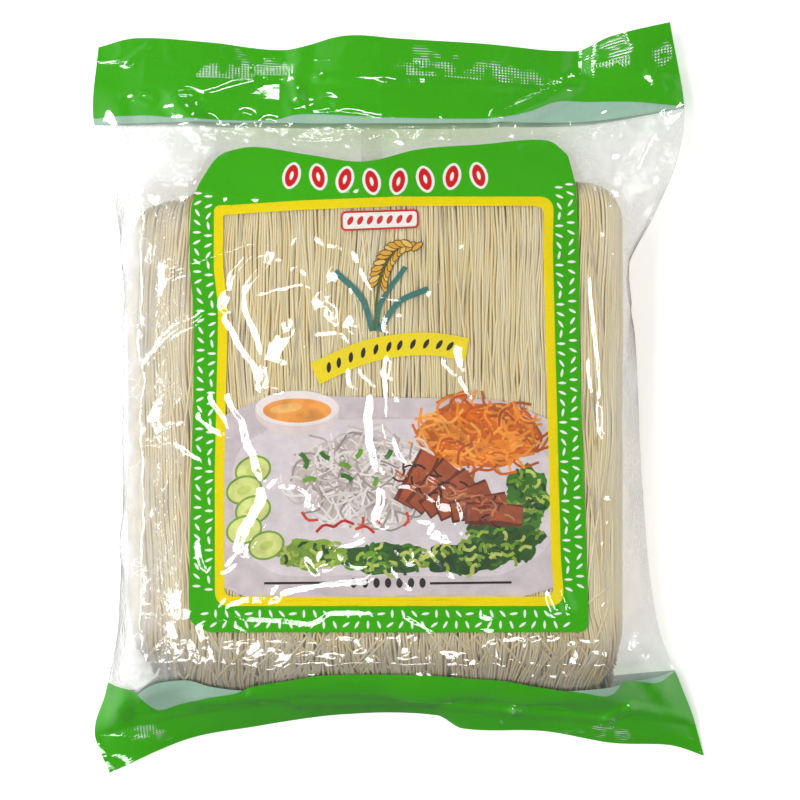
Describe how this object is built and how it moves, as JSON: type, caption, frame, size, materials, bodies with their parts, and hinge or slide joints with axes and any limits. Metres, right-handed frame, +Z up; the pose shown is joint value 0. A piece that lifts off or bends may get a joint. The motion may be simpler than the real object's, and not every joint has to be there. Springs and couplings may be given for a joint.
{
  "type": "rice noodle pack",
  "caption": "Sealed clear-film pillow bag drawn tight over a flat block of dry rice noodles, with printed green ends and a printed window label, lying on its back.",
  "frame": {"origin": "middle of the bag's outline, on the surface that the bag lies on", "axes": "+Z up from the bag's back to its printed front, +Y along the bag from its bottom end to its top end, +X across it to the right as the front is read"},
  "size_m": [0.29, 0.3556, 0.0485],
  "materials": {
    "clear_film": "clear glossy packaging film with noodles behind it",
    "green_print": "opaque green ink printed on the inside of glossy film",
    "label_print": "coloured inks printed on the inside of glossy film",
    "rice_noodles": "dry, slightly translucent starch with a dull sheen"
  },
  "bodies": {
    "root": {"noodle_bag": "clear_film"}
  },
  "joints": []
}
